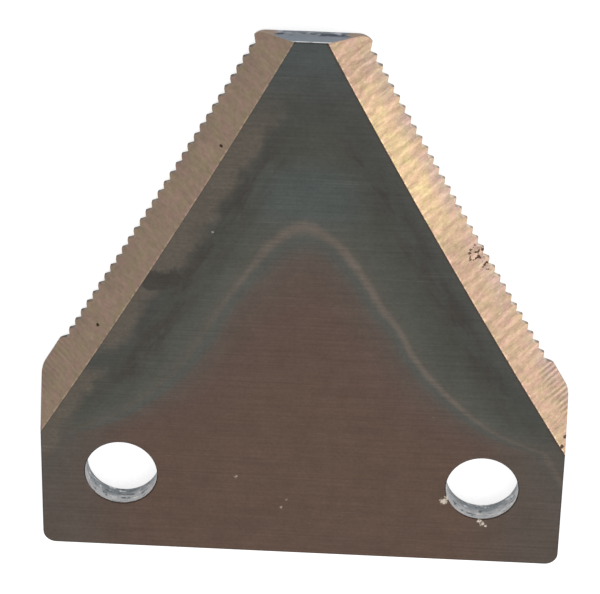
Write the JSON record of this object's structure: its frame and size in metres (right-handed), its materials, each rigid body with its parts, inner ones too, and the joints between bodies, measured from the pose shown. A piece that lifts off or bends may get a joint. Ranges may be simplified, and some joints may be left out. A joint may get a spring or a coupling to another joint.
{
  "type": "feed mixer knife",
  "caption": "Flat triangular knife with its point cut off, two bevelled and serrated cutting edges, and two bolt holes near the base.",
  "frame": {"origin": "midway between the two bolt holes, on the flat back face", "axes": "+Z out of the ground front face; +Y from the bolt holes towards the cut-off point; +X along the line of the bolt holes"},
  "size_m": [0.101, 0.111, 0.005],
  "materials": {
    "steel": "heat-tinted hardened steel, ground bare at the bevels"
  },
  "bodies": {
    "root": {"blade": "steel"}
  },
  "joints": []
}
